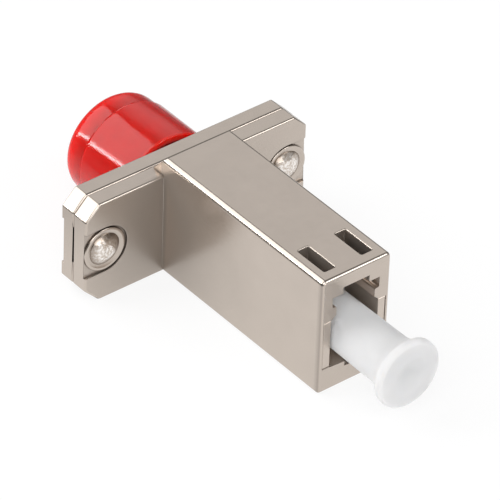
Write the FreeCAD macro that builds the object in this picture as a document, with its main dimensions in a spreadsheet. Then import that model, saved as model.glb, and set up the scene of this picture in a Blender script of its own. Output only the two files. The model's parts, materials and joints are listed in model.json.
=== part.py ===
import FreeCAD, Part
import math
import os
import Sketcher

# Hybrid fibre adapter, small square latching port to round threaded barrel, with both dust caps fitted.
# Millimetres. The fibre axis is the Y axis. Y = 0 is the panel face at the back of the flange.
# The threaded barrel points along +Y, the square port along -Y, and +Z is up.

doc = FreeCAD.newDocument("fibre_adapter")

# Driving sizes
SIZES = {
    # flange
    "flange_width": 22.0,
    "flange_height": 9.22,
    "corner_cut": 1.27,
    "rear_plate": 1.51,
    "front_plate": 1.58,
    "plate_round": 0.08,
    "front_edge_round": 0.2,
    "parting_round": 0.25,
    "parting_break": 0.12,
    "corner_round": 0.25,
    "rivet_spacing": 18.1,
    "slot_radius": 2.15,
    "slot_depth": 0.24,
    "slit_depth": 0.25,
    "slit_top": 2.0,
    "slit_bottom": 1.4,
    "slit_length": 0.7,
    # square body
    "body_width": 6.76,
    "body_top": 6.18,
    "body_length": 19.5,
    "top_round": 0.45,
    "low_round": 0.25,
    "front_round": 0.28,
    "ramp_toe": 0.16,
    # square port, measured from the fibre axis
    "channel_half": 3.05,
    "channel_top": 2.10,
    "channel_low": 2.35,
    "port_half": 2.33,
    "port_low": 2.45,
    "port_notch_half": 0.8,
    "port_notch_low": 2.95,
    "shelf_half": 1.87,
    "shelf_low": 2.5,
    "shelf_top": 3.3,
    "lug_half": 2.3,
    "lug_top": 4.25,
    "latch_half": 1.27,
    "latch_top": 4.85,
    "latch_depth": 10.0,
    "lug_depth": 4.4,
    "rail_round": 0.15,
    "window_inner": 1.28,
    "window_outer": 2.36,
    "window_front": 1.1,
    "window_back": 4.35,
    "window_round": 0.1,
    "window_corner": 0.15,
    # carrier in the square port
    "arm_recess": 0.06,
    "arm_gap": 0.02,
    "arm_bevel": 0.04,
    "block_front": 10.6,
    "block_back": 3.3,
    "nozzle_tip": 13.1,
    "nozzle_radius": 1.475,
    "lc_seat_radius": 0.84,
    "lc_lip_radius": 0.68,
    "lc_lip": 0.4,
    # sleeves, stub and collar
    "lc_sleeve_bore": 0.625,
    "lc_sleeve_radius": 0.81,
    "lc_sleeve_front": 12.63,
    "lc_sleeve_back": 5.83,
    "lc_sleeve_slit": 0.3,
    "stub_front": 9.23,
    "stub_step": 5.6,
    "stub_back": 0.4,
    "collar_radius": 1.8,
    "collar_length": 2.2,
    "fc_sleeve_bore": 1.25,
    "fc_sleeve_radius": 1.6,
    "fc_sleeve_front": 2.9,
    "fc_sleeve_back": 5.1,
    "fc_sleeve_slit": 0.5,
    "holder_radius": 2.08,
    "holder_seat": 1.64,
    "holder_lip_radius": 1.33,
    "holder_front": 3.2,
    "holder_back": 5.6,
    "holder_lip": 0.4,
    "holder_flange_radius": 3.25,
    "holder_flange": 0.8,
    # threaded barrel
    "barrel_radius": 4.0,
    "barrel_bore": 3.05,
    "barrel_length": 7.0,
    "barrel_floor": 0.2,
    "barrel_bevel": 0.35,
    "keyway_half": 1.05,
    "keyway_depth": 3.6,
    # rivets and their washers
    "shank_radius": 1.0,
    "hole_gap": 0.03,
    "dome_radius": 1.45,
    "dome_height": 0.52,
    "dimple_radius": 0.3,
    "dimple_depth": 0.1,
    "tail_radius": 1.6,
    "tail_height": 0.2,
    "washer_radius": 1.95,
    "washer_height": 0.2,
    "washer_lip": 0.22,
    "washer_dish": 0.1,
    # small dust cap
    "plug_tip": 14.76,
    "plug_foot_back": 18.66,
    "plug_foot_half": 2.27,
    "plug_foot_cut": 0.5,
    "plug_bore": 1.5,
    "plug_bore_depth": 9.0,
    "plug_neck_radius": 2.06,
    "plug_stem_radius": 2.15,
    "plug_flare_start": 26.66,
    "plug_rim_start": 28.62,
    "plug_end": 29.28,
    "plug_rim_radius": 2.98,
    "plug_rim_round": 0.3,
    "plug_dimple_radius": 1.6,
    "plug_dimple_depth": 0.5,
    "plug_dimple_round": 0.35,
    # large dust cap
    "cap_mouth": 0.61,
    "cap_step": 6.0,
    "cap_end": 8.62,
    "cap_radius": 4.69,
    "cap_end_radius": 4.54,
    "cap_bore": 4.07,
    "cap_floor": 7.24,
    "cap_round": 0.1,
    "cap_end_round": 1.2,
}

sheet = doc.addObject("Spreadsheet::Sheet", "Sizes")
for row, (alias, number) in enumerate(SIZES.items(), start=1):
    sheet.set("A%d" % row, alias)
    sheet.set("B%d" % row, str(number))
    sheet.setAlias("B%d" % row, alias)
doc.recompute()


# A size is a number together with the sheet expression that gives it
class Size:
    def __init__(self, value, text):
        self.value = value
        self.text = text

    def __add__(self, other):
        other = as_size(other)
        return Size(self.value + other.value, "(%s + %s)" % (self.text, other.text))

    def __sub__(self, other):
        other = as_size(other)
        return Size(self.value - other.value, "(%s - %s)" % (self.text, other.text))

    def __mul__(self, other):
        other = as_size(other)
        return Size(self.value * other.value, "(%s * %s)" % (self.text, other.text))

    def __truediv__(self, other):
        other = as_size(other)
        return Size(self.value / other.value, "(%s / %s)" % (self.text, other.text))

    def __neg__(self):
        return Size(-self.value, "(0 - %s)" % self.text)


def as_size(value):
    if isinstance(value, Size):
        return value
    return Size(float(value), "%g" % value)


def dim(alias):
    return Size(SIZES[alias], "Sizes." + alias)


ZERO = as_size(0)


# Sketch helpers
def origin_plane(body, role):
    for feature in body.Origin.OriginFeatures:
        if feature.Role == role:
            return feature


def new_sketch(body, name, role, offset):
    sketch = body.newObject("Sketcher::SketchObject", name)
    sketch.AttachmentSupport = [(origin_plane(body, role), "")]
    sketch.MapMode = "FlatFace"
    sketch.setExpression("AttachmentOffset.Base.z", as_size(offset).text)
    return sketch


# A sketch across the fibre axis: its own axes are X and Z, and it looks along -Y
def sketch_across(body, name, y):
    return new_sketch(body, name, "XZ_Plane", -as_size(y))


# A sketch along the fibre axis, seen from the side: its own axes are Y and Z
def sketch_sideways(body, name, x):
    return new_sketch(body, name, "YZ_Plane", x)


# A sketch flat on its back: its own axes are X and Y
def sketch_flat(body, name, z=ZERO):
    return new_sketch(body, name, "XY_Plane", z)


def tie(sketch, kind, edge, point, size):
    size = as_size(size)
    index = sketch.addConstraint(Sketcher.Constraint(kind, -1, 1, edge, point, size.value))
    sketch.setExpression("Constraints[%d]" % index, size.text)


# A closed outline of straight lines, one corner after another.
# A corner with four values starts an arc around the centre in its last two.
def outline(sketch, corners):
    count = len(corners)
    points = [FreeCAD.Vector(as_size(c[0]).value, as_size(c[1]).value, 0) for c in corners]
    ends = []
    for i, corner in enumerate(corners):
        start, stop = points[i], points[(i + 1) % count]
        if len(corner) == 2:
            edge = sketch.addGeometry(Part.LineSegment(start, stop), False)
            ends.append((edge, 1, 2))
        else:
            centre = FreeCAD.Vector(as_size(corner[2]).value, as_size(corner[3]).value, 0)
            circle = Part.Circle(centre, FreeCAD.Vector(0, 0, 1), (start - centre).Length)
            angles = [math.atan2(p.y - centre.y, p.x - centre.x) for p in (start, stop)]
            forward = (angles[1] - angles[0]) % (2 * math.pi) < math.pi
            first, last = angles if forward else reversed(angles)
            edge = sketch.addGeometry(Part.ArcOfCircle(circle, first, last), False)
            ends.append((edge, 1, 2) if forward else (edge, 2, 1))
            tie(sketch, "DistanceX", edge, 3, corner[2])
    for i in range(count):
        edge, _, stop = ends[i]
        following, start, _ = ends[(i + 1) % count]
        sketch.addConstraint(Sketcher.Constraint("Coincident", edge, stop, following, start))
    for i, corner in enumerate(corners):
        edge, start, _ = ends[i]
        tie(sketch, "DistanceX", edge, start, corner[0])
        tie(sketch, "DistanceY", edge, start, corner[1])


def rectangle(sketch, left, right, low, high):
    outline(sketch, [(left, low), (right, low), (right, high), (left, high)])


def rounded_rectangle(sketch, left, right, low, high, radius):
    outline(sketch, [
        (left + radius, low), (right - radius, low, right - radius, low + radius),
        (right, low + radius), (right, high - radius, right - radius, high - radius),
        (right - radius, high), (left + radius, high, left + radius, high - radius),
        (left, high - radius), (left, low + radius, left + radius, low + radius),
    ])


def disc(sketch, u, v, radius):
    u, v, radius = as_size(u), as_size(v), as_size(radius)
    circle = Part.Circle(FreeCAD.Vector(u.value, v.value, 0), FreeCAD.Vector(0, 0, 1), radius.value)
    edge = sketch.addGeometry(circle, False)
    tie(sketch, "DistanceX", edge, 3, u)
    tie(sketch, "DistanceY", edge, 3, v)
    index = sketch.addConstraint(Sketcher.Constraint("Radius", edge, radius.value))
    sketch.setExpression("Constraints[%d]" % index, radius.text)


# Feature helpers
def extrude(body, kind, sketch, length, backwards):
    feature = body.newObject("PartDesign::" + kind, sketch.Name + "_" + kind.lower())
    feature.Profile = sketch
    feature.setExpression("Length", as_size(length).text)
    feature.Reversed = backwards
    sketch.Visibility = False
    doc.recompute()
    return feature


# Adds or removes material between two planes across the fibre axis
def pad_along(body, name, y_from, y_to, draw):
    y_from, y_to = as_size(y_from), as_size(y_to)
    sketch = sketch_across(body, name, y_from)
    draw(sketch)
    towards_plus = y_to.value > y_from.value
    length = y_to - y_from if towards_plus else y_from - y_to
    return extrude(body, "Pad", sketch, length, towards_plus)


def pocket_along(body, name, y_from, y_to, draw):
    y_from, y_to = as_size(y_from), as_size(y_to)
    sketch = sketch_across(body, name, y_from)
    draw(sketch)
    towards_plus = y_to.value > y_from.value
    length = y_to - y_from if towards_plus else y_from - y_to
    before = body.Shape.Volume
    feature = extrude(body, "Pocket", sketch, length, not towards_plus)
    removed = before - body.Shape.Volume
    if removed <= 0:
        raise ValueError("%s removes nothing" % name)
    return feature


def revolve(body, name, corners):
    sketch = sketch_flat(body, name)
    outline(sketch, corners)
    feature = body.newObject("PartDesign::Revolution", name + "_turned")
    feature.Profile = sketch
    feature.ReferenceAxis = (sketch, ["V_Axis"])
    feature.Angle = 360
    sketch.Visibility = False
    doc.recompute()
    return feature


def round_edges(body, name, radius, wanted, kind="Fillet"):
    base = body.Tip
    names = ["Edge%d" % (i + 1) for i, edge in enumerate(base.Shape.Edges) if wanted(edge)]
    if not names:
        raise ValueError("%s finds no edge" % name)
    feature = body.newObject("PartDesign::" + kind, name)
    feature.Base = (base, names)
    feature.setExpression("Radius" if kind == "Fillet" else "Size", as_size(radius).text)
    doc.recompute()
    return feature


def near(a, b):
    return abs(a - as_size(b).value) < 0.01


def edge_lies_at(edge, axis, value):
    return all(near(getattr(v.Point, axis), value) for v in edge.Vertexes)


def edge_runs_along(edge, axis):
    box = edge.BoundBox
    spans = {"x": box.XLength, "y": box.YLength, "z": box.ZLength}
    return all(spans[a] < 0.01 for a in spans if a != axis)


def new_body(label):
    body = doc.addObject("PartDesign::Body", label)
    body.Label = label
    return body


# Planes along the fibre axis
flange_rear = ZERO
parting = -dim("rear_plate")
flange_front = parting - dim("front_plate")
port_face = flange_front - dim("body_length")
half_width = dim("flange_width") / 2
half_height = dim("flange_height") / 2
rivet_x = dim("rivet_spacing") / 2
SIDES = (-1, 1)


# The outline that both flange plates share
def flange_outline(sketch):
    cut_x = half_width - dim("corner_cut")
    cut_z = half_height - dim("corner_cut")
    outline(sketch, [
        (cut_x, half_height), (half_width, cut_z), (half_width, -cut_z), (cut_x, -half_height),
        (-cut_x, -half_height), (-half_width, -cut_z), (-half_width, cut_z), (-cut_x, half_height),
    ])


def rivet_holes(sketch):
    for side in SIDES:
        disc(sketch, rivet_x * side, ZERO, dim("shank_radius") + dim("hole_gap"))


# A round-ended slot for each rivet head, open to the end of the flange
def cut_rivet_slots(body, name, y_from, y_to):
    def round_ends(sketch):
        for side in SIDES:
            disc(sketch, rivet_x * side, ZERO, dim("slot_radius"))

    def open_ends(sketch):
        for side in SIDES:
            near_end, far_end = rivet_x * side, (half_width + 1) * side
            if side < 0:
                near_end, far_end = far_end, near_end
            rectangle(sketch, near_end, far_end, -dim("slot_radius"), dim("slot_radius"))

    pocket_along(body, name + "_round", y_from, y_to, round_ends)
    pocket_along(body, name + "_open", y_from, y_to, open_ends)


# Square-port housing: the long body and the front flange plate are one casting
housing = new_body("lc_housing")
half_body = dim("body_width") / 2
body_low = -half_height
pad_along(housing, "body_box", parting, port_face,
          lambda s: rectangle(s, -half_body, half_body, body_low, dim("body_top")))
round_edges(housing, "top_edges", dim("top_round"),
            lambda e: edge_runs_along(e, "y") and edge_lies_at(e, "z", dim("body_top")))
round_edges(housing, "low_edges", dim("low_round"),
            lambda e: edge_runs_along(e, "y") and edge_lies_at(e, "z", body_low))
round_edges(housing, "front_edges", dim("front_round"), lambda e: edge_lies_at(e, "y", port_face))

# Over the front plate the body's top slopes down to the plate's own top
ramp = sketch_sideways(housing, "top_ramp", half_body + 1)
ramp_toe = parting - dim("ramp_toe")
outline(ramp, [(flange_front, dim("body_top")), (ramp_toe, half_height),
               (parting + 1, half_height), (parting + 1, dim("body_top"))])
extrude(housing, "Pocket", ramp, dim("body_width") + 2, False)
pad_along(housing, "front_flange", parting, flange_front, flange_outline)


# The upright edges of the cut corners; the front plate keeps its two lowest ones
def corner_edge(edge, lowest):
    middle = edge.BoundBox.Center
    beyond_body = abs(middle.x) > half_body.value + 0.5
    return beyond_body and edge_runs_along(edge, "y") and middle.z > as_size(lowest).value


round_edges(housing, "front_flange_corners", dim("corner_round"),
            lambda e: corner_edge(e, -half_height + 0.01))


# The plate's own outline at one of its faces, without the edge it stands on
def plate_rim_edge(edge, y):
    middle = edge.BoundBox.Center
    on_rim = abs(middle.z) > half_height.value - 0.01 or abs(middle.x) > 9.5
    return edge_lies_at(edge, "y", y) and on_rim and middle.z > -half_height.value + 0.01


# In front only the parts of the outline that are clear of the body
def plate_front_edge(edge):
    clear_of_body = abs(edge.BoundBox.Center.x) > half_body.value + 0.5
    return clear_of_body and plate_rim_edge(edge, flange_front)


round_edges(housing, "front_flange_edges", dim("front_edge_round"), plate_front_edge)
round_edges(housing, "front_flange_back", dim("parting_break"), lambda e: plate_rim_edge(e, parting))

channel = [-dim("channel_half"), dim("channel_half"), -dim("channel_low"), dim("channel_top")]
pocket_along(housing, "carrier_channel", port_face, parting, lambda s: rectangle(s, *channel))


def port_outline(sketch):
    right = [
        (dim("port_notch_half"), -dim("port_notch_low")),
        (dim("port_notch_half"), -dim("port_low")),
        (dim("port_half"), -dim("port_low")),
        (dim("port_half"), dim("channel_top")),
        (dim("shelf_half"), dim("shelf_low")),
        (dim("shelf_half"), dim("shelf_top")),
        (dim("latch_half"), dim("shelf_top")),
        (dim("latch_half"), dim("latch_top")),
    ]
    outline(sketch, right + [(-x, z) for x, z in reversed(right)])


pocket_along(housing, "port", port_face, port_face + dim("latch_depth"), port_outline)
pocket_along(housing, "lug_slots", port_face, port_face + dim("lug_depth"),
             lambda s: rectangle(s, -dim("lug_half"), dim("lug_half"), dim("shelf_top"), dim("lug_top")))


# Both long edges of the two rails under the lug slots
def rail_edge(edge):
    box = edge.BoundBox
    beside_rail = near(abs(box.Center.x), dim("shelf_half")) or near(abs(box.Center.x), dim("lug_half"))
    in_lug_slot = box.YMax < (port_face + dim("lug_depth")).value + 0.01
    on_shelf = edge_runs_along(edge, "y") and edge_lies_at(edge, "z", dim("shelf_top"))
    return beside_rail and in_lug_slot and on_shelf


round_edges(housing, "rail_edges", dim("rail_round"), rail_edge)

windows = sketch_flat(housing, "latch_windows", dim("body_top"))
window_ends = port_face + dim("window_front"), port_face + dim("window_back")
window_corner = dim("window_corner")
rounded_rectangle(windows, -dim("window_outer"), -dim("window_inner"), *window_ends, window_corner)
rounded_rectangle(windows, dim("window_inner"), dim("window_outer"), *window_ends, window_corner)
extrude(housing, "Pocket", windows, dim("body_top") - dim("lug_top") + 0.05, False)


def window_edge(edge):
    inside = all(abs(v.Point.x) < dim("window_outer").value + 0.01 for v in edge.Vertexes)
    at_port_end = edge.BoundBox.YMax < window_ends[1].value + 0.01
    return inside and at_port_end and edge_lies_at(edge, "z", dim("body_top"))


round_edges(housing, "window_edges", dim("window_round"), window_edge)

cut_rivet_slots(housing, "front_slots", flange_front, flange_front + dim("slot_depth"))
pocket_along(housing, "front_rivet_holes", flange_front, parting, rivet_holes)


# Threaded-barrel housing: the barrel and the rear flange plate are one piece
barrel = new_body("fc_housing")
pad_along(barrel, "rear_flange", parting, flange_rear, flange_outline)
round_edges(barrel, "rear_flange_corners", dim("corner_round"),
            lambda e: corner_edge(e, -half_height - 1))
round_edges(barrel, "rear_flange_edges", dim("plate_round"), lambda e: edge_lies_at(e, "y", flange_rear))
round_edges(barrel, "joint_edges", dim("parting_round"), lambda e: edge_lies_at(e, "y", parting))
barrel_end = flange_rear + dim("barrel_length")
pad_along(barrel, "thread_barrel", parting, barrel_end,
          lambda s: disc(s, ZERO, ZERO, dim("barrel_radius")))
round_edges(barrel, "barrel_lead", dim("barrel_bevel"),
            lambda e: edge_lies_at(e, "y", barrel_end), "Chamfer")
pocket_along(barrel, "barrel_bore", barrel_end, flange_rear + dim("barrel_floor"),
             lambda s: disc(s, ZERO, ZERO, dim("barrel_bore")))
pocket_along(barrel, "holder_hole", parting, barrel_end,
             lambda s: disc(s, ZERO, ZERO, dim("holder_radius") + dim("hole_gap")))
pocket_along(barrel, "holder_seat", parting, parting + dim("holder_flange"),
             lambda s: disc(s, ZERO, ZERO, dim("holder_flange_radius") + dim("hole_gap")))
keyway_half = dim("keyway_half")
pocket_along(barrel, "keyway", barrel_end, barrel_end - dim("keyway_depth"),
             lambda s: rectangle(s, -keyway_half, keyway_half, ZERO, dim("barrel_radius") + 1))
cut_rivet_slots(barrel, "rear_slots", flange_rear, flange_rear - dim("slot_depth"))
pocket_along(barrel, "rear_rivet_holes", parting, flange_rear, rivet_holes)


# A shallow relief at each end of the joint shows as a dark slit between the plates
def end_slits(sketch):
    inner, outer = half_width - dim("slit_length"), half_width + 1
    rectangle(sketch, inner, outer, -dim("slit_bottom"), dim("slit_top"))
    rectangle(sketch, -outer, -inner, -dim("slit_bottom"), dim("slit_top"))


pocket_along(barrel, "end_slits", parting, parting + dim("slit_depth"), end_slits)


# Carrier in the square port: two side arms, a block and the nozzle that holds the small sleeve
carrier = new_body("lc_carrier")
arm_outer = dim("channel_half") - dim("arm_gap")
arm_top = dim("channel_top") - dim("arm_gap")
arm_low = -dim("channel_low") + dim("arm_gap")
block_front = -dim("block_front")
block_back = -dim("block_back")
arm_tip = port_face + dim("arm_recess")
pad_along(carrier, "block", block_back, block_front,
          lambda s: rectangle(s, -arm_outer, arm_outer, arm_low, arm_top))


def arm_sections(sketch):
    rectangle(sketch, dim("port_half"), arm_outer, arm_low, arm_top)
    rectangle(sketch, -arm_outer, -dim("port_half"), arm_low, arm_top)


# The bevel leaves the edge along the port sharp
def arm_tip_edge(edge):
    along_port = near(abs(edge.BoundBox.Center.x), dim("port_half"))
    return edge_lies_at(edge, "y", arm_tip) and not along_port


pad_along(carrier, "arms", block_front, arm_tip, arm_sections)
round_edges(carrier, "arm_tips", dim("arm_bevel"), arm_tip_edge, "Chamfer")
nozzle_tip = -dim("nozzle_tip")
pad_along(carrier, "nozzle", block_front, nozzle_tip,
          lambda s: disc(s, ZERO, ZERO, dim("nozzle_radius")))
pocket_along(carrier, "sleeve_lip", nozzle_tip, block_back,
             lambda s: disc(s, ZERO, ZERO, dim("lc_lip_radius")))
pocket_along(carrier, "sleeve_seat", block_back, nozzle_tip + dim("lc_lip"),
             lambda s: disc(s, ZERO, ZERO, dim("lc_seat_radius")))
stub_step = -dim("stub_step")
pocket_along(carrier, "collar_seat", block_back, stub_step,
             lambda s: disc(s, ZERO, ZERO, dim("collar_radius") + dim("hole_gap")))


# A tube with one slit along it, as ceramic alignment sleeves have
def split_sleeve(label, bore, radius, y_front, y_back, slit):
    sleeve = new_body(label)
    wall = [(bore, y_front), (radius, y_front), (radius, y_back), (bore, y_back)]
    revolve(sleeve, label + "_wall", wall)
    pocket_along(sleeve, label + "_slit", y_back, y_front,
                 lambda s: rectangle(s, -slit / 2, slit / 2, ZERO, radius + 1))
    return sleeve


lc_sleeve = split_sleeve("lc_split_sleeve", dim("lc_sleeve_bore"), dim("lc_sleeve_radius"),
                         -dim("lc_sleeve_front"), -dim("lc_sleeve_back"), dim("lc_sleeve_slit"))
fc_sleeve = split_sleeve("fc_split_sleeve", dim("fc_sleeve_bore"), dim("fc_sleeve_radius"),
                         -dim("fc_sleeve_front"), dim("fc_sleeve_back"), dim("fc_sleeve_slit"))

# Stepped ceramic stub that carries the light from the small ferrule to the large one
stub = new_body("ferrule_stub")
stub_front = -dim("stub_front")
stub_back = dim("stub_back")
revolve(stub, "stub_section", [
    (ZERO, stub_front), (dim("lc_sleeve_bore"), stub_front), (dim("lc_sleeve_bore"), stub_step),
    (dim("fc_sleeve_bore"), stub_step), (dim("fc_sleeve_bore"), stub_back), (ZERO, stub_back),
])

# Collar pressed on the stub, seated in the back of the carrier
collar = new_body("stub_collar")
collar_back = stub_step + dim("collar_length")
revolve(collar, "collar_section", [
    (dim("fc_sleeve_bore"), stub_step), (dim("collar_radius"), stub_step),
    (dim("collar_radius"), collar_back), (dim("fc_sleeve_bore"), collar_back),
])

# Flanged tube that holds the large sleeve in the middle of the barrel
holder = new_body("fc_sleeve_holder")
holder_front = -dim("holder_front")
holder_back = dim("holder_back")
flange_top = parting + dim("holder_flange")
revolve(holder, "holder_section", [
    (dim("holder_seat"), holder_front), (dim("holder_radius"), holder_front),
    (dim("holder_radius"), parting),
    (dim("holder_flange_radius"), parting), (dim("holder_flange_radius"), flange_top),
    (dim("holder_radius"), flange_top), (dim("holder_radius"), holder_back),
    (dim("holder_lip_radius"), holder_back), (dim("holder_lip_radius"), holder_back - dim("holder_lip")),
    (dim("holder_seat"), holder_back - dim("holder_lip")),
])


# The same turned piece at both ends of the flange, as one group of two solids
def at_both_ends(label, corners):
    single = new_body(label + "_right")
    revolve(single, label + "_section", corners)
    single.setExpression("Placement.Base.x", rivet_x.text)
    doc.recompute()
    mirrored = doc.addObject("Part::Mirroring", label + "_left")
    mirrored.Source = single
    mirrored.Normal = FreeCAD.Vector(1, 0, 0)
    mirrored.Base = FreeCAD.Vector(0, 0, 0)
    pair = doc.addObject("Part::Compound", label)
    pair.Links = [single, mirrored]
    pair.Label = label
    doc.recompute()
    return pair


# Rivets: a domed head with a small dimple in front, a flat formed tail behind
slot_floor = flange_front + dim("slot_depth")
washer_face = slot_floor - dim("washer_height")
head_face = washer_face + dim("washer_dish")
dome_top = head_face - dim("dome_height")
dome_base = dim("dome_radius")
dome_curve = (dome_base * dome_base + dim("dome_height") * dim("dome_height")) / (dim("dome_height") * 2)
tail_floor = flange_rear - dim("slot_depth")
rivets = at_both_ends("flange_rivets", [
    (ZERO, dome_top + dim("dimple_depth")),
    (dim("dimple_radius"), dome_top + dim("dimple_depth") * 0.3, ZERO, dome_top + dome_curve),
    (dome_base, head_face), (dim("shank_radius"), head_face), (dim("shank_radius"), tail_floor),
    (dim("tail_radius"), tail_floor), (dim("tail_radius"), tail_floor + dim("tail_height")),
    (ZERO, tail_floor + dim("tail_height")),
])

# Washers under the domed heads, slightly dished
washer_inner = dim("shank_radius") + dim("hole_gap")
washers = at_both_ends("rivet_washers", [
    (washer_inner, slot_floor), (dim("washer_radius"), slot_floor),
    (dim("washer_radius"), washer_face), (dim("washer_radius") - dim("washer_lip"), washer_face),
    (dome_base, head_face), (washer_inner, head_face),
])

# Small dust cap: a hollow plug with a squared foot in the port and a flared pull rim
plug = new_body("lc_dust_cap")
plug_tip = -dim("plug_tip")
plug_end = -dim("plug_end")
flare_start = -dim("plug_flare_start")
rim_start = -dim("plug_rim_start")
flare_rise = dim("plug_rim_radius") - dim("plug_stem_radius")
flare_run = dim("plug_flare_start") - dim("plug_rim_start")
flare_curve = (flare_rise * flare_rise + flare_run * flare_run) / (flare_rise * 2)
dish_radius = dim("plug_dimple_radius")
dish_depth = dim("plug_dimple_depth")
dish_curve = (dish_radius * dish_radius + dish_depth * dish_depth) / (dish_depth * 2)
dish_bottom = plug_end + dish_depth
revolve(plug, "plug_section", [
    (ZERO, dish_bottom), (ZERO, plug_tip), (dim("plug_neck_radius"), plug_tip),
    (dim("plug_stem_radius"), flare_start, dim("plug_stem_radius") + flare_curve, flare_start),
    (dim("plug_rim_radius"), rim_start), (dim("plug_rim_radius"), plug_end),
    (dish_radius, plug_end, ZERO, dish_bottom - dish_curve),
])
round_edges(plug, "dish_edge", dim("plug_dimple_round"),
            lambda e: near(e.BoundBox.XLength, dish_radius * 2) and edge_lies_at(e, "y", plug_end))
round_edges(plug, "rim_edges", dim("plug_rim_round"),
            lambda e: near(e.BoundBox.XLength, dim("plug_rim_radius") * 2)
            and (edge_lies_at(e, "y", plug_end) or edge_lies_at(e, "y", rim_start)))


def foot_outline(sketch):
    half = dim("plug_foot_half")
    cut = half - dim("plug_foot_cut")
    outline(sketch, [(cut, half), (half, cut), (half, -cut), (cut, -half),
                     (-cut, -half), (-half, -cut), (-half, cut), (-cut, half)])


pad_along(plug, "plug_foot", plug_tip, -dim("plug_foot_back"), foot_outline)
pocket_along(plug, "plug_bore", plug_tip, plug_tip - dim("plug_bore_depth"),
             lambda s: disc(s, ZERO, ZERO, dim("plug_bore")))

# Large dust cap: a plain push-on cup with a stepped closed end
cap = new_body("fc_dust_cap")
revolve(cap, "cap_section", [
    (dim("cap_bore"), dim("cap_mouth")), (dim("cap_radius"), dim("cap_mouth")),
    (dim("cap_radius"), dim("cap_step")), (dim("cap_end_radius"), dim("cap_step")),
    (dim("cap_end_radius"), dim("cap_end")), (ZERO, dim("cap_end")),
    (ZERO, dim("cap_floor")), (dim("cap_bore"), dim("cap_floor")),
])
round_edges(cap, "cap_edges", dim("cap_round"),
            lambda e: near(e.BoundBox.XLength, dim("cap_radius") * 2)
            and (edge_lies_at(e, "y", dim("cap_mouth")) or edge_lies_at(e, "y", dim("cap_step"))))
round_edges(cap, "cap_end_edge", dim("cap_end_round"), lambda e: edge_lies_at(e, "y", dim("cap_end"))
            and near(e.BoundBox.XLength, dim("cap_end_radius") * 2))

# Check and write every piece
doc.recompute()
for item in doc.Objects:
    if "Invalid" in item.State or "Error" in item.State:
        raise ValueError("%s has state %s" % (item.Name, item.State))

pieces = [housing, barrel, carrier, lc_sleeve, fc_sleeve, stub]
pieces += [collar, holder, rivets, washers, plug, cap]
os.makedirs("parts", exist_ok=True)
for piece in pieces:
    if piece.Shape.isNull() or not piece.Shape.isValid():
        raise ValueError("%s has no valid shape" % piece.Label)
    piece.Shape.exportStep(os.path.join("parts", piece.Label + ".step"))
    print(piece.Label, len(piece.Shape.Solids), "solid", round(piece.Shape.Volume, 2), "mm3")
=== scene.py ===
import json
import math

import bmesh
import bpy
from mathutils import Matrix, Vector, noise

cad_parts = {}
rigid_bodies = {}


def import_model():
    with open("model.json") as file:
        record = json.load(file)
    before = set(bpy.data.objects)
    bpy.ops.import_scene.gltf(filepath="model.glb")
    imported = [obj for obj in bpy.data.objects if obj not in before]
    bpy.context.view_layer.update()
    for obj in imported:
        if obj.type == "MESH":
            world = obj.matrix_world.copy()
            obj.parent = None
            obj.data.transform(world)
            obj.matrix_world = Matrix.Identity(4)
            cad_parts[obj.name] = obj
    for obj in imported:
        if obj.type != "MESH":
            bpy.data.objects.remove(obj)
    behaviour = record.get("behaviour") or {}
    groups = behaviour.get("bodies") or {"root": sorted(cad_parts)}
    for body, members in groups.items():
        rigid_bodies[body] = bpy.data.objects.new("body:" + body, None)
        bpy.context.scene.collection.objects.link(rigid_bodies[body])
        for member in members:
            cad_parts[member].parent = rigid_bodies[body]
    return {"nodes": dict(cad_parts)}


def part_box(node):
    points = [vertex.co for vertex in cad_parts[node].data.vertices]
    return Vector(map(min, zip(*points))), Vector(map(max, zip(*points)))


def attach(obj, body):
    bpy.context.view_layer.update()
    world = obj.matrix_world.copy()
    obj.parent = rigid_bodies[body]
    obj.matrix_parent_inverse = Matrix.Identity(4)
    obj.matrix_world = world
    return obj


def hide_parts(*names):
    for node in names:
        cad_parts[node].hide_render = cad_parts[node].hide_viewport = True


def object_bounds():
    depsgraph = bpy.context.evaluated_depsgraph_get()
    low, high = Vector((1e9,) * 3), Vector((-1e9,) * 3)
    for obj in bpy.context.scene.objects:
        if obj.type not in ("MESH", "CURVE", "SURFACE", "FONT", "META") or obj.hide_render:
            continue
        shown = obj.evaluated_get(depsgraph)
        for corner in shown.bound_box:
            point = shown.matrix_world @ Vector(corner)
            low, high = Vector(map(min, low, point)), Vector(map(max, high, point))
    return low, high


# Hybrid fibre adapter: a plated housing with a square port and a round threaded barrel, and two dust caps.
# Metres, in the frame of the solids: Y is the fibre axis, Z is up and Y = 0 is the back of the flange.

for leftover in list(bpy.data.objects):
    bpy.data.objects.remove(leftover)

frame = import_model()
nodes = frame["nodes"]
solid_low, solid_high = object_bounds()
MM = 0.001
SAME_POINT = 1e-7
TINY_LENGTH = 1e-8

# View fitted to the photo: where the flange's joint lies in the picture, and from how far it is seen
IMAGE_PIXELS = 500
FOCAL_PIXELS = 5655.6
VIEW_AZIMUTH = math.radians(-39.90)
VIEW_ELEVATION = math.radians(37.38)
VIEW_ROLL = math.radians(2.19)
VIEW_DISTANCE = 445.9 * MM
AIM_POINT = Vector((0, -1.59 * MM, 0))
AIM_PIXEL = (185.17, 198.83)
SENSOR_WIDTH = 36

# Plated housings
EDGE_BREAK = 0.05 * MM
CARRIER_EDGE_BREAK = 0.02 * MM
BREAK_ANGLE = math.radians(50)
CREASE_ANGLE = math.radians(35)
FLAT_ANGLE = math.radians(1)
SHORT_EDGE = 0.12 * MM
FLANGE_HALF = solid_high.x
SLIT_FLOOR = -1.26 * MM
SLIT_LENGTH = 0.7 * MM
SLIT_REACH = 2.05 * MM
SLIT_NARROWING = 0.1 * MM

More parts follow.
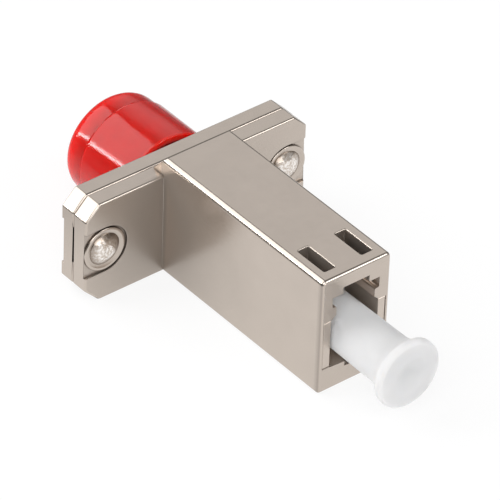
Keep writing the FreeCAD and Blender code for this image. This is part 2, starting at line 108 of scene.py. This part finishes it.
# Thread on the barrel
BARREL_RADIUS = 4.0 * MM
BARREL_TOLERANCE = 0.006 * MM
KEYWAY_HALF = 1.05 * MM
KEYWAY_TOLERANCE = 0.05 * MM
THREAD_PITCH = 0.75 * MM
THREAD_DEPTH = 0.4 * MM
THREAD_START = 0.95 * MM
THREAD_END = 6.5 * MM
THREAD_RUNOUT = 0.4 * THREAD_PITCH
RINGS_PER_PITCH = 10

# Rivets and washers
RIVET_X = 9.05 * MM
RIVET_SEGMENTS = 96
DOME_RADIUS = 1.45 * MM
DOME_STEPS = 24
DIMPLE_DEPTH = 0.06 * MM
DIMPLE_RADIUS = 0.3 * MM
DENT_DEPTH = 0.03 * MM
DENT_SIZE = 0.3 * MM
DENT_START = 0.02
FINE_DENT_RATIO = 2.3
FINE_DENT_SHARE = 0.5
SHANK_RADIUS = 1.0 * MM
TAIL_RADIUS = 1.6 * MM
TAIL_HEIGHT = 0.2 * MM
TAIL_ROUND = 0.08 * MM
WASHER_RADIUS = 1.95 * MM
WASHER_ROUND = 0.08 * MM
WASHER_LIP = 0.22 * MM
WASHER_LIP_ROUND = 0.1 * MM
WASHER_DISH = 0.1 * MM
WASHER_TUCK = 0.02 * MM

# Red cap
CAP_SEGMENTS = 192
CAP_STEP = 6.0 * MM
CAP_END_RADIUS = 4.54 * MM
CAP_END_ROUND = 1.2 * MM
CAP_GROOVE = 0.2 * MM
CAP_GROOVE_EDGE = 0.06 * MM
CAP_GROOVE_ROOT = 0.03 * MM
CAP_RIM_ROUND = 0.1 * MM
CAP_BORE = 4.07 * MM
CAP_MOUTH_ROUND = 0.05 * MM
CAP_FLOOR = 7.24 * MM
CAP_FLOOR_ROUND = 0.4 * MM

# White plug
PLUG_SEGMENTS = 128
PLUG_FOOT_BACK = -18.66 * MM
PLUG_FOOT_HALF = 2.27 * MM
PLUG_FOOT_CUT = 0.5 * MM
PLUG_BORE = 1.5 * MM
PLUG_BORE_DEPTH = 9.0 * MM
PLUG_NECK_RADIUS = 2.06 * MM
PLUG_STEM_RADIUS = 2.15 * MM
PLUG_FLARE_START = -26.66 * MM
PLUG_RIM_START = -28.62 * MM
PLUG_RIM_ROUND = 0.3 * MM
PLUG_DISH_RADIUS = 1.9 * MM
PLUG_DISH_DEPTH = 0.5 * MM
PLUG_CURVE_STEPS = 16

# Plating: its grains, the places where its painted shade and light begin and end, and how open a place is
# where they do
TARNISH_SIZE = 3.0 * MM
WEAR_SIZE = 0.9 * MM
WAVE_SIZE = 0.8 * MM
PORE_SIZE = 0.07 * MM
GLINT_SIZE = 0.2 * MM
GLINT_EDGES = (0.42, 0.62)
PLATING_SKIN = 0.0005 * MM
RIVET_SKIN = 0.003 * MM
SHELTER_REACH = 12 * MM
CREVICE_REACH = 0.6 * MM
SHELTER_SAMPLES = 6
CORNER_SHADE_EDGES = (-2.85 * MM, -2.6 * MM)
SHADED_SIDE = (-1 * MM, 4 * MM)
UPRIGHT_FRONT = (-22.55 * MM, -22.0 * MM)
UPRIGHT_SIDE = (3.26 * MM, 3.34 * MM)
BROWN_EDGES = (-3.6 * MM, -3.3 * MM)
WINDOW_FLOOR = (4.2 * MM, 4.5 * MM)
CREVICE_EDGES = (-3.08 * MM, -3.04 * MM)
SKIRT_EDGES = (-3.3 * MM, -3.0 * MM)
CORNER_OPENNESS = (0.78, 0.93)
PORT_OPENNESS = (0.3, 0.6)
CREVICE_OPENNESS = (0.35, 0.8)
LIT_SIDE_SHARE = 0.3
TARNISH_TONE = 0.96
PAINTED_SHADE_TONE = 0.64
DULL_METAL = 0.7
DULL_ROUGHENING = 1.6

# Plastics: their grains, and the painted light at the red cap's open edge
CLOUD_SIZE = 2.5 * MM
SHEEN_SIZE = 0.6 * MM
SWELL_SIZE = 1.6 * MM
SPECK_SIZE = 0.25 * MM
STREAK_SIZE = 0.12 * MM
STREAK_STRETCH = (1, 0.25, 1)
WHITE_SKIN = 0.003 * MM
RED_SKIN = 0.010 * MM
RED_STREAKS = 0.004 * MM
CERAMIC_SKIN = 0.0005 * MM
CAP_GLOW_EDGES = (0.65 * MM, 0.9 * MM)

# Colours
NICKEL = (0.57, 0.50, 0.44)
# Painted light: a lighter brown for the deepest inside of the port
PORT_LIGHT_BROWN = (0.66, 0.53, 0.43)
# Painted shade for the narrow gaps behind the flange's front
GAP_SHADE = (0.14, 0.11, 0.09)
BUSH_NICKEL = (0.64, 0.58, 0.47)
RIVET_NICKEL = (0.62, 0.54, 0.47)
# Painted glints on the rivet domes
RIVET_GLINT = (0.92, 0.88, 0.84)
# Painted shade at the foot of the rivet domes
RIVET_SKIRT_SHADE = (0.24, 0.19, 0.15)
CAP_GLOW = (0.95, 0.02, 0.012)


# Node helpers
def add_node(tree, kind, **values):
    node = tree.nodes.new("ShaderNode" + kind)
    for key, value in values.items():
        if key in node.inputs:
            node.inputs[key].default_value = value
        else:
            setattr(node, key, value)
    return node


# Puts a fixed value into a socket, or links another node to it
def feed(tree, value, socket):
    if isinstance(value, bpy.types.NodeSocket):
        tree.links.new(value, socket)
    elif socket.type == "RGBA":
        socket.default_value = (*value, 1)
    else:
        socket.default_value = value


# Takes numbers together, one after another; each may be fixed or come from a node
def combine(tree, operation, *values):
    total = values[0]
    for value in values[1:]:
        step = add_node(tree, "Math", operation=operation)
        feed(tree, total, step.inputs[0])
        feed(tree, value, step.inputs[1])
        total = step.outputs[0]
    return total


def absolute(tree, value):
    size = add_node(tree, "Math", operation="ABSOLUTE")
    feed(tree, value, size.inputs[0])
    return size.outputs[0]


# Carries a number over from one range to another and holds it past both ends
def spread(tree, value, low, high, start=0.3, stop=0.7):
    change = add_node(tree, "MapRange")
    ends = {"Value": value, "From Min": start, "From Max": stop, "To Min": low, "To Max": high}
    for socket, end in ends.items():
        feed(tree, end, change.inputs[socket])
    return change.outputs["Result"]


# Blends two numbers or colours; either end may be fixed or come from a node
def blend(tree, factor, low, high, data_type="FLOAT"):
    mix = add_node(tree, "Mix", data_type=data_type)
    feed(tree, factor, mix.inputs["Factor"])
    kind = "RGBA" if data_type == "RGBA" else "VALUE"
    ends = [socket for socket in mix.inputs if socket.name in ("A", "B") and socket.type == kind]
    for socket, value in zip(ends, (low, high)):
        feed(tree, value, socket)
    return next(socket for socket in mix.outputs if socket.type == kind)


# Noise that rides on the piece, with its grain given as a length
def grain(tree, size, detail=3.0, roughness=0.55, stretch=(1, 1, 1)):
    place = add_node(tree, "TexCoord")
    scale = add_node(tree, "Mapping", Scale=stretch)
    texture = add_node(tree, "TexNoise", Scale=1 / size, Detail=detail, Roughness=roughness)
    feed(tree, place.outputs["Object"], scale.inputs["Vector"])
    feed(tree, scale.outputs["Vector"], texture.inputs["Vector"])
    return texture.outputs["Fac"]


# The X, Y and Z of a place on the piece
def place_on_piece(tree):
    place = add_node(tree, "SeparateXYZ")
    feed(tree, add_node(tree, "TexCoord").outputs["Object"], place.inputs[0])
    return place.outputs


# How open a place is, from one in the clear to nothing in a deep hollow
def openness(tree, reach, only_local):
    shelter = add_node(tree, "AmbientOcclusion", samples=SHELTER_SAMPLES, Distance=reach)
    shelter.only_local = only_local
    return shelter.outputs["AO"]


def add_bump(tree, heights):
    normal = None
    for height, depth in heights:
        bump = add_node(tree, "Bump", Strength=1.0, Distance=depth)
        feed(tree, height, bump.inputs["Height"])
        if normal:
            feed(tree, normal, bump.inputs["Normal"])
        normal = bump.outputs["Normal"]
    return normal


# Material helpers
def shader_of(material):
    return material.node_tree.nodes["Principled BSDF"]


def new_material(name):
    material = bpy.data.materials.new(name)
    material.use_nodes = True
    return material, material.node_tree, shader_of(material)


# Values that are the same all over the surface
def set_shader(material, values):
    for socket, value in values.items():
        shader_of(material).inputs[socket].default_value = value


def shade(colour, share):
    return [part * share for part in colour]


# Lays another colour over the one that a material has
def tint(material, share, colour):
    tree = material.node_tree
    base = shader_of(material).inputs["Base Color"]
    feed(tree, blend(tree, share, base.links[0].from_socket, colour, "RGBA"), base)


# Goes over to another colour along the fibre axis
def tint_along_y(material, colour, edges, before, after):
    tree = material.node_tree
    along = place_on_piece(tree)["Y"]
    tint(material, spread(tree, along, before, after, *edges), colour)


# Painted glints: small bright patches in the colour stand in for highlights on facets left by a punch
def paint_glints(material, colour, size):
    tree = material.node_tree
    tint(material, spread(tree, grain(tree, size), 0, 1, *GLINT_EDGES), colour)


# Satin plating with faint tarnish and an uneven polish. Painted shade: in front of the flange's top its
# corners are darker and less metallic, more so on the shaded left, and the upright front edges are darker
# too; both stand in for dark reflections. Painted light: deep in the port the colour turns a lighter brown.
# Painted shade: narrow gaps behind the flange's front are darkened where the parts shade each other.
def plating(name, colour, polish, skin=PLATING_SKIN):
    material, tree, shader = new_material(name)
    place = place_on_piece(tree)
    shelter = openness(tree, SHELTER_REACH, True)
    nearby = openness(tree, CREVICE_REACH, False)
    corner = combine(
        tree, "MULTIPLY",
        spread(tree, place["Y"], 1, 0, *CORNER_SHADE_EDGES),
        spread(tree, place["X"], 1, LIT_SIDE_SHARE, *SHADED_SIDE),
        spread(tree, shelter, 1, 0, *CORNER_OPENNESS),
    )
    upright = combine(
        tree, "MULTIPLY",
        spread(tree, place["Y"], 1, 0, *UPRIGHT_FRONT),
        spread(tree, absolute(tree, place["X"]), 0, 1, *UPRIGHT_SIDE),
    )
    port = combine(
        tree, "MULTIPLY",
        spread(tree, place["Y"], 1, 0, *BROWN_EDGES),
        spread(tree, place["Z"], 1, 0, *WINDOW_FLOOR),
        spread(tree, shelter, 1, 0, *PORT_OPENNESS),
    )
    crevice = combine(
        tree, "MULTIPLY",
        spread(tree, place["Y"], 0, 1, *CREVICE_EDGES),
        spread(tree, nearby, 1, 0, *CREVICE_OPENNESS),
    )
    tarnish = spread(tree, grain(tree, TARNISH_SIZE, 4), 0, 1)
    plated = blend(tree, tarnish, shade(colour, TARNISH_TONE), colour, "RGBA")
    feed(tree, plated, shader.inputs["Base Color"])
    painted_shade = shade(colour, PAINTED_SHADE_TONE)
    for share, painted_tone in ((corner, painted_shade), (upright, painted_shade), (port, PORT_LIGHT_BROWN), (crevice, GAP_SHADE)):
        tint(material, share, painted_tone)
    feed(tree, blend(tree, corner, 1.0, DULL_METAL), shader.inputs["Metallic"])
    wear = spread(tree, grain(tree, WEAR_SIZE, 5), polish * 0.9, polish * 1.1)
    feed(tree, blend(tree, corner, wear, polish * DULL_ROUGHENING), shader.inputs["Roughness"])
    heights = [(grain(tree, WAVE_SIZE, 2), skin), (grain(tree, PORE_SIZE, 2), skin * 0.5)]
    feed(tree, add_bump(tree, heights), shader.inputs["Normal"])
    return material


# Moulded plastic with a cloudy colour and a faint swell; streaks run along the fibre axis
def moulded_plastic(name, low, high, polish, skin, streaks=0):
    material, tree, shader = new_material(name)
    cloud = spread(tree, grain(tree, CLOUD_SIZE), 0, 1)
    feed(tree, blend(tree, cloud, low, high, "RGBA"), shader.inputs["Base Color"])
    sheen = spread(tree, grain(tree, SHEEN_SIZE, 4), polish * 0.85, polish * 1.15)
    feed(tree, sheen, shader.inputs["Roughness"])
    heights = [(grain(tree, SWELL_SIZE, 2), skin), (grain(tree, SPECK_SIZE), skin * 0.4)]
    if streaks:
        heights.append((grain(tree, STREAK_SIZE, 2, stretch=STREAK_STRETCH), streaks))
    feed(tree, add_bump(tree, heights), shader.inputs["Normal"])
    return material


# Materials
plate_front = plating("nickel_front", NICKEL, 0.22)
plate_rear = plating("nickel_rear", NICKEL, 0.22)
plate_inner = plating("nickel_inner", shade(NICKEL, 1.08), 0.25)
washer_finish = plating("washer_plating", NICKEL, 0.2)
bush_finish = plating("bush_plating", BUSH_NICKEL, 0.18)
rivet_finish = plating("rivet_plating", RIVET_NICKEL, 0.2, RIVET_SKIN)
# Painted glints: bright patches on the rivet domes
paint_glints(rivet_finish, RIVET_GLINT, GLINT_SIZE)
# Painted shade: the foot of each dome turns dark brown towards the washer
tint_along_y(rivet_finish, RIVET_SKIRT_SHADE, SKIRT_EDGES, 0, 0.85)

white_plastic = moulded_plastic("white_plastic", (0.62, 0.62, 0.625), (0.65, 0.65, 0.655), 0.42, WHITE_SKIN)
set_shader(white_plastic, {
    "Specular IOR Level": 0.25,
    "Subsurface Weight": 1.0,
    "Subsurface Radius": (1, 0.95, 0.9),
    "Subsurface Scale": 1.2 * MM,
})

red_plastic = moulded_plastic(
    "red_plastic", (0.60, 0.010, 0.007), (0.66, 0.013, 0.009), 0.07, RED_SKIN, RED_STREAKS)
# Painted light: the cap's open edge turns a brighter red, standing in for light carried through the clear
# plastic
tint_along_y(red_plastic, CAP_GLOW, CAP_GLOW_EDGES, 1, 0)
set_shader(red_plastic, {
    "Subsurface Weight": 1.0,
    "Subsurface Radius": (1.0, 0.03, 0.025),
    "Subsurface Scale": 4.0 * MM,
    "IOR": 1.5,
})

ceramic = moulded_plastic("ceramic", (0.84, 0.83, 0.79), (0.88, 0.87, 0.84), 0.12, CERAMIC_SKIN)


# Mesh helpers
def new_piece(name, bm, material, body, replaced):
    bmesh.ops.recalc_face_normals(bm, faces=bm.faces)
    for face in bm.faces:
        face.smooth = True
    mesh = bpy.data.meshes.new(name)
    bm.to_mesh(mesh)
    bm.free()
    mesh.materials.append(material)
    piece = bpy.data.objects.new(name, mesh)
    bpy.context.scene.collection.objects.link(piece)
    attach(piece, body)
    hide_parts(replaced)
    return piece


# The outline of a turned piece through corners of (radius, y, rounding)
def rounded(corners, steps=6):
    points = []
    for i, (radius, y, fillet) in enumerate(corners):
        here = Vector((radius, y))
        if not fillet:
            points.append(here)
            continue
        before = (Vector(corners[i - 1][:2]) - here).normalized()
        after = (Vector(corners[(i + 1) % len(corners)][:2]) - here).normalized()
        half = before.angle(after) / 2
        centre = here + (before + after).normalized() * fillet / math.sin(half)
        arm = here + before * fillet / math.tan(half) - centre
        stop = here + after * fillet / math.tan(half) - centre
        turn = arm.angle_signed(stop)
        for step in range(steps + 1):
            points.append(centre + Matrix.Rotation(-turn * step / steps, 2) @ arm)
    return points


# Turns an outline about the fibre axis; a squared ring follows the foot of the plug
def turn_outline(bm, outline, segments, closed=False, squared=None):
    rings = []
    for radius, y in outline:
        if radius < TINY_LENGTH:
            rings.append([bm.verts.new((0, y, 0))])
            continue
        ring = []
        for step in range(segments):
            angle = 2 * math.pi * step / segments
            reach = squared(angle, radius, y) if squared else radius
            ring.append(bm.verts.new((reach * math.cos(angle), y, reach * math.sin(angle))))
        rings.append(ring)
    pairs = list(zip(rings, rings[1:]))
    if closed:
        pairs.append((rings[-1], rings[0]))
    for first, second in pairs:
        for step in range(segments):
            after = (step + 1) % segments
            if len(first) == 1:
                bm.faces.new((first[0], second[step], second[after]))
            elif len(second) == 1:
                bm.faces.new((first[step], first[after], second[0]))
            else:
                bm.faces.new((first[step], first[after], second[after], second[step]))


# Turns the same outline about each rivet's own axis
def turn_at_rivets(bm, outline, closed=False):
    for x in (-RIVET_X, RIVET_X):
        first = len(bm.verts)
        turn_outline(bm, outline, RIVET_SEGMENTS, closed)
        bm.verts.ensure_lookup_table()
        for vert in bm.verts[first:]:
            vert.co.x += x


# Housings
def break_edges(bm, width):
    sharp = [
        edge for edge in bm.edges
        if edge.is_manifold and edge.calc_face_angle() > BREAK_ANGLE and edge.calc_length() > SHORT_EDGE
    ]
    bmesh.ops.bevel(bm, geom=sharp, offset=width, segments=2, profile=0.5, affect="EDGES")


# A copy of a solid with its sharp edges broken, as plating and tumbling leave them
def softened(node, width=EDGE_BREAK):
    bm = bmesh.new()
    bm.from_mesh(nodes[node].data)
    bmesh.ops.remove_doubles(bm, verts=bm.verts, dist=SAME_POINT)
    bmesh.ops.dissolve_limit(bm, angle_limit=FLAT_ANGLE, verts=bm.verts, edges=bm.edges)
    break_edges(bm, width)
    for edge in bm.edges:
        edge.smooth = not edge.is_manifold or edge.calc_face_angle() < CREASE_ANGLE
    return bm


def on_barrel(vert):
    return abs(math.hypot(vert.co.x, vert.co.z) - BARREL_RADIUS) < BARREL_TOLERANCE


# Divides the barrel's outer wall into rings
def score_barrel(bm):
    rings = round((THREAD_END - THREAD_START) / THREAD_PITCH * RINGS_PER_PITCH)
    for step in range(rings + 1):
        y = THREAD_START + (THREAD_END - THREAD_START) * step / rings
        wall = [face for face in bm.faces if all(on_barrel(vert) for vert in face.verts)]
        edges = {edge for face in wall for edge in face.edges}
        verts = {vert for face in wall for vert in face.verts}
        bmesh.ops.bisect_plane(
            bm, geom=[*verts, *edges, *wall], dist=TINY_LENGTH, plane_co=(0, y, 0), plane_no=(0, 1, 0))


# Presses the rings in along a helix that runs out at both ends and keeps the keyway's sides flat
def press_thread(bm):
    for vert in [vert for vert in bm.verts if on_barrel(vert)]:
        runout = min(vert.co.y - THREAD_START, THREAD_END - vert.co.y) / THREAD_RUNOUT
        turn = math.atan2(vert.co.z, vert.co.x) / (2 * math.pi)
        groove = 1 - abs(2 * ((vert.co.y / THREAD_PITCH - turn) % 1) - 1)
        radius = BARREL_RADIUS - THREAD_DEPTH * groove * max(0, min(1, runout))
        on_keyway = abs(abs(vert.co.x) - KEYWAY_HALF) < KEYWAY_TOLERANCE and vert.co.z > 0
        if on_keyway:
            vert.co.z = math.sqrt(radius ** 2 - vert.co.x ** 2)
        else:
            vert.co.x *= radius / BARREL_RADIUS
            vert.co.z *= radius / BARREL_RADIUS


# Brings the floors of the slits at both ends of the flange nearer to the joint
def narrow_slits(bm):
    for vert in bm.verts:
        at_end = abs(vert.co.x) > FLANGE_HALF - SLIT_LENGTH - EDGE_BREAK
        if at_end and abs(vert.co.y - SLIT_FLOOR) < EDGE_BREAK and abs(vert.co.z) < SLIT_REACH:
            vert.co.y -= SLIT_NARROWING


def threaded_barrel():
    bm = softened("fc_housing")
    score_barrel(bm)
    press_thread(bm)
    narrow_slits(bm)
    return bm


# Flat faces stay flat and the broken edges carry the highlights
def add_housing(name, bm, material, replaced):
    piece = new_piece(name, bm, material, "adapter", replaced)
    modifier = piece.modifiers.new("normals", "WEIGHTED_NORMAL")
    modifier.keep_sharp = True


add_housing("square_housing", softened("lc_housing"), plate_front, "lc_housing")
add_housing("barrel_housing", threaded_barrel(), plate_rear, "fc_housing")
carrier = softened("lc_carrier", CARRIER_EDGE_BREAK)
add_housing("port_carrier", carrier, plate_inner, "lc_carrier")

# Rivets: the dome flows into the dish around it and is dented by the setting punch
rivets_low, rivets_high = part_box("flange_rivets")
washers_low, washers_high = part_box("rivet_washers")
HEAD_FACE = washers_low.y + WASHER_DISH
DOME_HEIGHT = HEAD_FACE - rivets_low.y
TAIL_FLOOR = rivets_high.y - TAIL_HEIGHT


def rivet_outline():
    outline = []
    curve = (DOME_RADIUS ** 2 + DOME_HEIGHT ** 2) / (2 * DOME_HEIGHT)
    for step in range(DOME_STEPS + 1):
        radius = DOME_RADIUS * step / DOME_STEPS
        rise = math.sqrt(curve ** 2 - radius ** 2) - curve + DOME_HEIGHT
        dimple = DIMPLE_DEPTH * math.exp(-(radius / DIMPLE_RADIUS) ** 2)
        outline.append((radius, HEAD_FACE - rise + dimple))
    return outline + rounded([
        (SHANK_RADIUS, HEAD_FACE, 0), (SHANK_RADIUS, TAIL_FLOOR, 0), (TAIL_RADIUS, TAIL_FLOOR, 0),
        (TAIL_RADIUS, rivets_high.y, TAIL_ROUND), (0, rivets_high.y, 0),
    ])


def dent_domes(bm):
    for vert in bm.verts:
        share = (HEAD_FACE - vert.co.y) / DOME_HEIGHT
        if share > DENT_START:
            spot = Vector((vert.co.x, 0, vert.co.z)) / DENT_SIZE
            dent = noise.noise(spot) + FINE_DENT_SHARE * noise.noise(spot * FINE_DENT_RATIO)
            vert.co.y += DENT_DEPTH * share * (1 + dent)


def add_rivets():
    bm = bmesh.new()
    turn_at_rivets(bm, rivet_outline())
    dent_domes(bm)
    new_piece("rivets", bm, rivet_finish, "adapter", "flange_rivets")


add_rivets()


# Washers: a rounded lip around a shallow dish
def add_washers():
    face, floor = washers_low.y, washers_high.y
    bm = bmesh.new()
    turn_at_rivets(bm, rounded([
        (SHANK_RADIUS, floor, 0), (WASHER_RADIUS, floor, 0), (WASHER_RADIUS, face, WASHER_ROUND),
        (WASHER_RADIUS - WASHER_LIP, face, WASHER_LIP_ROUND), (DOME_RADIUS - WASHER_TUCK, HEAD_FACE, 0),
        (SHANK_RADIUS, HEAD_FACE + WASHER_TUCK, 0),
    ]), closed=True)
    new_piece("washers", bm, washer_finish, "adapter", "rivet_washers")


add_washers()


# Red cap: a narrower rounded end behind a groove, and a bore for the barrel
def add_red_cap():
    cap_low, cap_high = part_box("fc_dust_cap")
    bm = bmesh.new()
    turn_outline(bm, rounded([
        (0, cap_high.y, 0), (CAP_END_RADIUS, cap_high.y, CAP_END_ROUND),
        (CAP_END_RADIUS, CAP_STEP + CAP_GROOVE, CAP_GROOVE_EDGE),
        (CAP_END_RADIUS - CAP_GROOVE, CAP_STEP, CAP_GROOVE_ROOT),
        (cap_high.x, CAP_STEP, CAP_RIM_ROUND), (cap_high.x, cap_low.y, CAP_RIM_ROUND),
        (CAP_BORE, cap_low.y, CAP_MOUTH_ROUND), (CAP_BORE, CAP_FLOOR, CAP_FLOOR_ROUND), (0, CAP_FLOOR, 0),
    ]), CAP_SEGMENTS)
    new_piece("red_cap", bm, red_plastic, "fc_cap", "fc_dust_cap")


add_red_cap()

# White plug: a squared foot with a bore, a round stem, and a flared rim with a dish in its end
plug_low, plug_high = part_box("lc_dust_cap")


def plug_foot(angle, radius, y):
    if y < PLUG_FOOT_BACK - SAME_POINT or radius < PLUG_FOOT_HALF - SAME_POINT:
        return radius
    side = max(abs(math.cos(angle)), abs(math.sin(angle)))
    corner = abs(math.cos(angle)) + abs(math.sin(angle))
    return min(PLUG_FOOT_HALF / side, (2 * PLUG_FOOT_HALF - PLUG_FOOT_CUT) / corner)


def plug_flare(rim):
    rise, run = rim - PLUG_STEM_RADIUS, PLUG_FLARE_START - PLUG_RIM_START
    curve = (rise ** 2 + run ** 2) / (2 * rise)
    full_turn = math.asin(run / curve)
    points = []
    for step in range(PLUG_CURVE_STEPS + 1):
        turn = full_turn * step / PLUG_CURVE_STEPS
        points.append((
            PLUG_STEM_RADIUS + curve * (1 - math.cos(turn)),
            PLUG_FLARE_START - curve * math.sin(turn),
        ))
    return points


def plug_dish(end):
    points = []
    for step in reversed(range(PLUG_CURVE_STEPS)):
        fall = 0.5 + 0.5 * math.cos(math.pi * step / PLUG_CURVE_STEPS)
        points.append((PLUG_DISH_RADIUS * step / PLUG_CURVE_STEPS, end + PLUG_DISH_DEPTH * fall))
    return points


def plug_outline():
    tip, end, rim = plug_high.y, plug_low.y, plug_high.x
    foot = [
        (0, tip - PLUG_BORE_DEPTH), (PLUG_BORE, tip - PLUG_BORE_DEPTH), (PLUG_BORE, tip),
        (PLUG_FOOT_HALF, tip), (PLUG_FOOT_HALF, PLUG_FOOT_BACK), (PLUG_NECK_RADIUS, PLUG_FOOT_BACK),
    ]
    lip = rounded([(rim, PLUG_RIM_START, 0), (rim, end, PLUG_RIM_ROUND), (PLUG_DISH_RADIUS, end, 0)])
    return foot + plug_flare(rim) + lip[1:] + plug_dish(end)


def add_white_plug():
    bm = bmesh.new()
    turn_outline(bm, plug_outline(), PLUG_SEGMENTS, squared=plug_foot)
    new_piece("white_plug", bm, white_plastic, "lc_cap", "lc_dust_cap")


add_white_plug()

# Inner pieces keep their solids
for name, material in {
    "lc_split_sleeve": ceramic, "fc_split_sleeve": ceramic, "ferrule_stub": ceramic,
    "stub_collar": bush_finish, "fc_sleeve_holder": bush_finish,
}.items():
    for material_slot in nodes[name].material_slots:
        material_slot.material = material


# Camera
def add_camera():
    back = Vector((
        math.sin(VIEW_AZIMUTH) * math.cos(VIEW_ELEVATION),
        -math.cos(VIEW_AZIMUTH) * math.cos(VIEW_ELEVATION),
        math.sin(VIEW_ELEVATION),
    ))
    level_right = Vector((math.cos(VIEW_AZIMUTH), math.sin(VIEW_AZIMUTH), 0))
    level_up = back.cross(level_right)
    right = level_right * math.cos(VIEW_ROLL) + level_up * math.sin(VIEW_ROLL)
    up = level_up * math.cos(VIEW_ROLL) - level_right * math.sin(VIEW_ROLL)
    pixel = VIEW_DISTANCE / FOCAL_PIXELS
    across = (AIM_PIXEL[0] - IMAGE_PIXELS / 2) * pixel
    down = (AIM_PIXEL[1] - IMAGE_PIXELS / 2) * pixel
    data = bpy.data.cameras.new("camera")
    data.sensor_width = SENSOR_WIDTH
    data.lens = FOCAL_PIXELS / IMAGE_PIXELS * SENSOR_WIDTH
    camera = bpy.data.objects.new("camera", data)
    place = AIM_POINT - right * across + up * down + back * VIEW_DISTANCE
    turn = Matrix((right, up, back)).transposed().to_4x4()
    camera.matrix_world = Matrix.Translation(place) @ turn
    bpy.context.scene.collection.objects.link(camera)
    bpy.context.scene.camera = camera


add_camera()

# Lamps
LAMP_TARGET = Vector((0, -0.01, 0))
LEVEL_RUN = (1, 0, 0)
SLANTED_RUN = (-0.867, 0, -0.498)


# A softbox is placed by the direction it shines from, the way its width runs and how bright it looks
def add_softbox(name, direction, run, distance, width, height, radiance):
    lamp = bpy.data.lights.new(name, "AREA")
    lamp.shape = "RECTANGLE"
    lamp.size = width
    lamp.size_y = height
    lamp.energy = 4 * width * height * radiance
    softbox = bpy.data.objects.new(name, lamp)
    aim = Vector(direction).normalized()
    across = aim.cross(Vector(run)).normalized()
    turn = Matrix((across.cross(aim), across, aim)).transposed().to_4x4()
    softbox.matrix_world = Matrix.Translation(LAMP_TARGET + aim * distance) @ turn
    softbox.visible_camera = False
    bpy.context.scene.collection.objects.link(softbox)


add_softbox("back_left_softbox", (-0.40, 0.61, 0.685), SLANTED_RUN,
            distance=0.5, width=0.53, height=0.5, radiance=1.6)
add_softbox("back_left_strip", (-0.726, 0.604, 0.332), SLANTED_RUN,
            distance=0.48, width=0.016, height=0.4, radiance=12)
add_softbox("back_left_band", (-0.702, 0.614, 0.358), SLANTED_RUN,
            distance=0.48, width=0.026, height=0.4, radiance=5)
add_softbox("front_right_softbox", (0.45, -0.65, 0.61), LEVEL_RUN,
            distance=0.6, width=0.3, height=0.22, radiance=3.0)
add_softbox("front_softbox", (-0.05, -0.97, 0.12), LEVEL_RUN,
            distance=0.6, width=0.35, height=0.3, radiance=1.6)
add_softbox("front_left_softbox", (-0.5, -0.5, 0.7), LEVEL_RUN,
            distance=0.6, width=0.4, height=0.4, radiance=2.3)


# One where any of the given kinds of ray arrives
def arrives_as(tree, *kinds):
    path = add_node(tree, "LightPath")
    return combine(tree, "MAXIMUM", *[path.outputs[kind] for kind in kinds])


# Floor
FLOOR_HALF = 3
FLOOR_PAINT = (0.92, 0.92, 0.92, 1)
FLOOR_GLOW_SHARE = 0.85
POOL_CENTRE = (0.01, -0.045, 0)
POOL_EDGES = (0.053, 0.078)
POOL_REST = 0.1


# Seen directly the floor is white all over; in metal its white fades out away from the object
def floor_paint():
    material, tree, shader = new_material("floor_paint")
    set_shader(material, {"Base Color": FLOOR_PAINT, "Roughness": 1.0, "Specular IOR Level": 0.0})
    distance = add_node(tree, "VectorMath", operation="DISTANCE")
    feed(tree, add_node(tree, "TexCoord").outputs["Object"], distance.inputs[0])
    feed(tree, POOL_CENTRE, distance.inputs[1])
    pool = spread(tree, distance.outputs["Value"], 1.0, POOL_REST, *POOL_EDGES)
    glow = add_node(tree, "Emission")
    feed(tree, blend(tree, arrives_as(tree, "Is Camera Ray"), pool, 1.0), glow.inputs["Strength"])
    seen = arrives_as(tree, "Is Camera Ray", "Is Glossy Ray", "Is Transmission Ray")
    mix = add_node(tree, "MixShader")
    feed(tree, combine(tree, "MULTIPLY", seen, FLOOR_GLOW_SHARE), mix.inputs[0])
    feed(tree, shader.outputs[0], mix.inputs[1])
    feed(tree, glow.outputs[0], mix.inputs[2])
    feed(tree, mix.outputs[0], tree.nodes["Material Output"].inputs["Surface"])
    return material


def add_floor():
    mesh = bpy.data.meshes.new("floor")
    bm = bmesh.new()
    bmesh.ops.create_grid(bm, x_segments=1, y_segments=1, size=FLOOR_HALF)
    bm.to_mesh(mesh)
    bm.free()
    mesh.materials.append(floor_paint())
    floor = bpy.data.objects.new("floor", mesh)
    floor.location.z = solid_low.z
    bpy.context.scene.collection.objects.link(floor)


add_floor()

# World
DIM_STUDIO = 0.16
FRONT_WALL = 0.7
BACK_WALL = 0.88
SOFT_FILL = 0.4


# How far a direction of the world lies inside a soft-edged cone
def inside_cone(tree, aim, inner, outer):
    dot = add_node(tree, "VectorMath", operation="DOT_PRODUCT")
    feed(tree, add_node(tree, "TexCoord").outputs["Generated"], dot.inputs[0])
    feed(tree, Vector(aim).normalized(), dot.inputs[1])
    edges = math.cos(math.radians(outer)), math.cos(math.radians(inner))
    return spread(tree, dot.outputs["Value"], 0, 1, *edges)


# Directly seen the world is white; metal shows a dim studio with pale walls on the right
def add_world():
    world = bpy.data.worlds.new("studio")
    bpy.context.scene.world = world
    world.use_nodes = True
    tree = world.node_tree
    front = inside_cone(tree, (0.35, -0.90, 0.25), inner=30, outer=70)
    back = inside_cone(tree, (0.60, 0.60, 0.55), inner=8, outer=26)
    studio = blend(tree, back, blend(tree, front, DIM_STUDIO, FRONT_WALL), BACK_WALL)
    reflected = blend(tree, arrives_as(tree, "Is Glossy Ray", "Is Transmission Ray"), SOFT_FILL, studio)
    shown = blend(tree, arrives_as(tree, "Is Camera Ray"), reflected, 1.0)
    background = tree.nodes["Background"]
    background.inputs["Color"].default_value = (1, 1, 1, 1)
    feed(tree, shown, background.inputs["Strength"])


add_world()
bpy.context.scene.view_settings.view_transform = "Standard"
